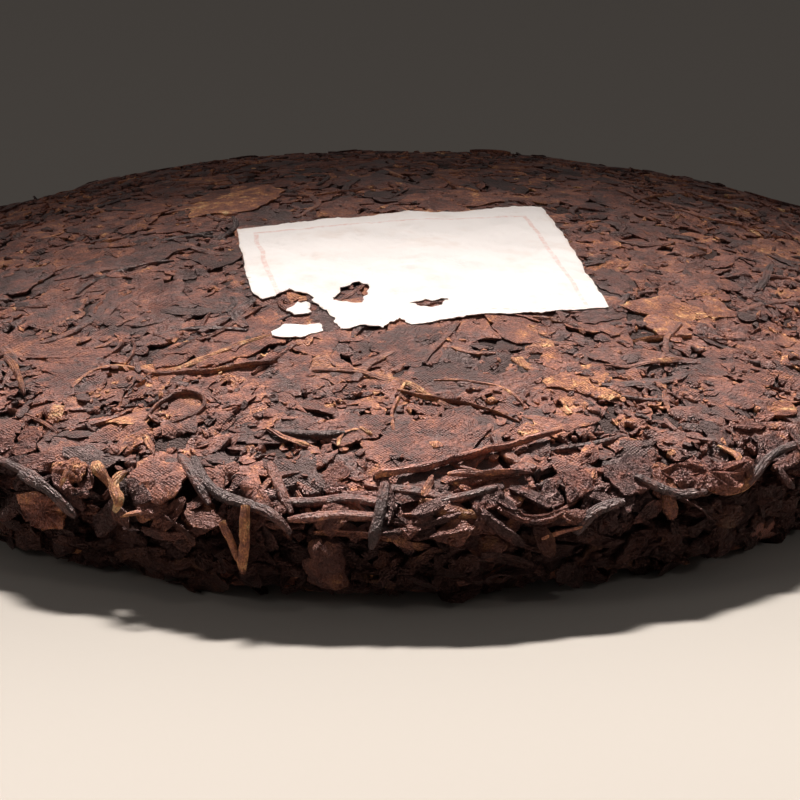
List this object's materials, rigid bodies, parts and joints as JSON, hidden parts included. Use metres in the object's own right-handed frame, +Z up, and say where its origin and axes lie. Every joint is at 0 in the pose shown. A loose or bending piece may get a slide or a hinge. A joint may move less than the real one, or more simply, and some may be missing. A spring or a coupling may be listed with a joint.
{
  "type": "pu erh tea cake",
  "caption": "Round cake of dark fermented tea leaves, pressed with a domed top and a hollow underside, with a torn paper ticket set in the top.",
  "frame": {"origin": "centre of the cake's bounding box in plan, on the surface that it lies on", "axes": "+Z up out of the domed top; -Y towards the near rim, the side with the ticket's torn corner; +X to the right seen from there"},
  "size_m": [0.195, 0.1944, 0.0287],
  "materials": {
    "pressed_tea": null,
    "ticket_paper": "thin matte rice paper, off-white with a faint pink rule near its border"
  },
  "bodies": {
    "root": {"tea_cake": "pressed_tea", "paper_ticket": "ticket_paper", "paper_scrap_near": "ticket_paper", "paper_scrap_side": "ticket_paper"}
  },
  "joints": []
}
